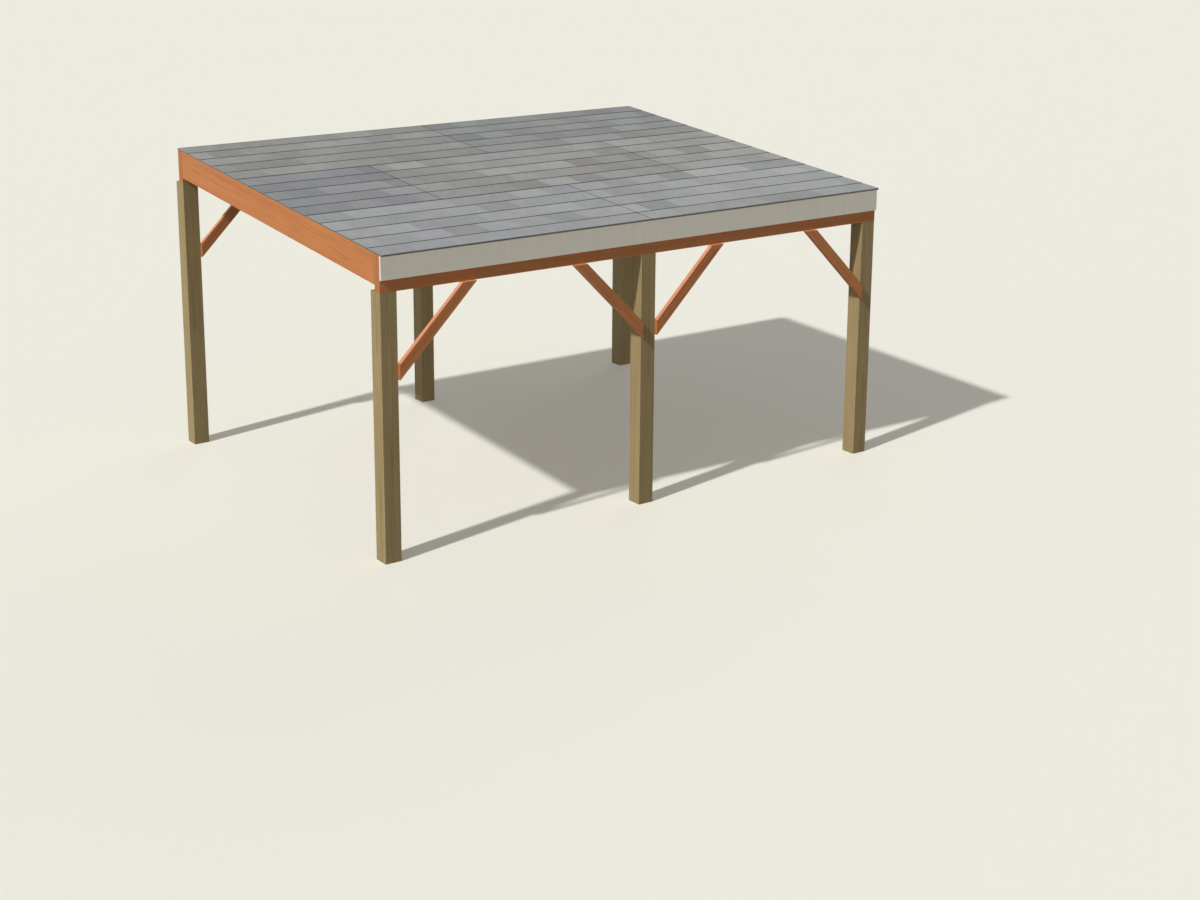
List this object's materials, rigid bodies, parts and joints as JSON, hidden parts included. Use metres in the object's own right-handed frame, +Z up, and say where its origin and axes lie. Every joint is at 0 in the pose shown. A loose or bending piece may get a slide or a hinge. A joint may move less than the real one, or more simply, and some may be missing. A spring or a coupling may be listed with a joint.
{
  "type": "patio cover",
  "caption": "Free-standing lean-to patio cover: square timber posts, doubled beams with knee braces, sloping rafters and a shingled single-slope roof with an eave fascia.",
  "frame": {"origin": "on the floor, at the centre of the cover's bounding box", "axes": "+X along the beams and the eave, +Y from the low side to the high side, +Z up"},
  "size_m": [4.8768, 3.6957, 2.6883],
  "materials": {
    "post_wood": "matte",
    "beam_wood": "matte",
    "rafter_wood": "matte",
    "brace_wood": "matte",
    "fascia_board": "matte",
    "sheathing": "matte",
    "edge_metal": "satin",
    "shingles": "matte"
  },
  "bodies": {
    "root": {"post_front_left": "post_wood", "post_front_middle": "post_wood", "post_front_right": "post_wood", "post_back_left": "post_wood", "post_back_middle": "post_wood", "post_back_right": "post_wood", "front_beam_outer_ply": "beam_wood", "front_beam_inner_ply": "beam_wood", "back_beam_inner_ply": "beam_wood", "back_beam_outer_ply": "beam_wood", "rafter_1": "rafter_wood", "rafter_2": "rafter_wood", "rafter_3": "rafter_wood", "rafter_4": "rafter_wood", "rafter_5": "rafter_wood", "rafter_6": "rafter_wood", "rafter_7": "rafter_wood", "rafter_8": "rafter_wood", "rafter_9": "rafter_wood", "rafter_10": "rafter_wood", "rafter_11": "rafter_wood", "rafter_12": "rafter_wood", "rafter_13": "rafter_wood", "brace_front_left_post": "brace_wood", "brace_front_middle_post_left": "brace_wood", "brace_front_middle_post_right": "brace_wood", "brace_front_right_post": "brace_wood", "brace_back_left_post": "brace_wood", "brace_back_middle_post_left": "brace_wood", "brace_back_middle_post_right": "brace_wood", "brace_back_right_post": "brace_wood", "front_fascia": "fascia_board", "sheet_low_left": "sheathing", "sheet_low_right": "sheathing", "sheet_middle_left": "sheathing", "sheet_middle_centre": "sheathing", "sheet_middle_right": "sheathing", "sheet_high_left": "sheathing", "sheet_high_right": "sheathing", "drip_edge_eave": "edge_metal", "drip_edge_left": "edge_metal", "drip_edge_right": "edge_metal", "drip_edge_rear": "edge_metal", "shingle_roofing": "shingles"}
  },
  "joints": []
}
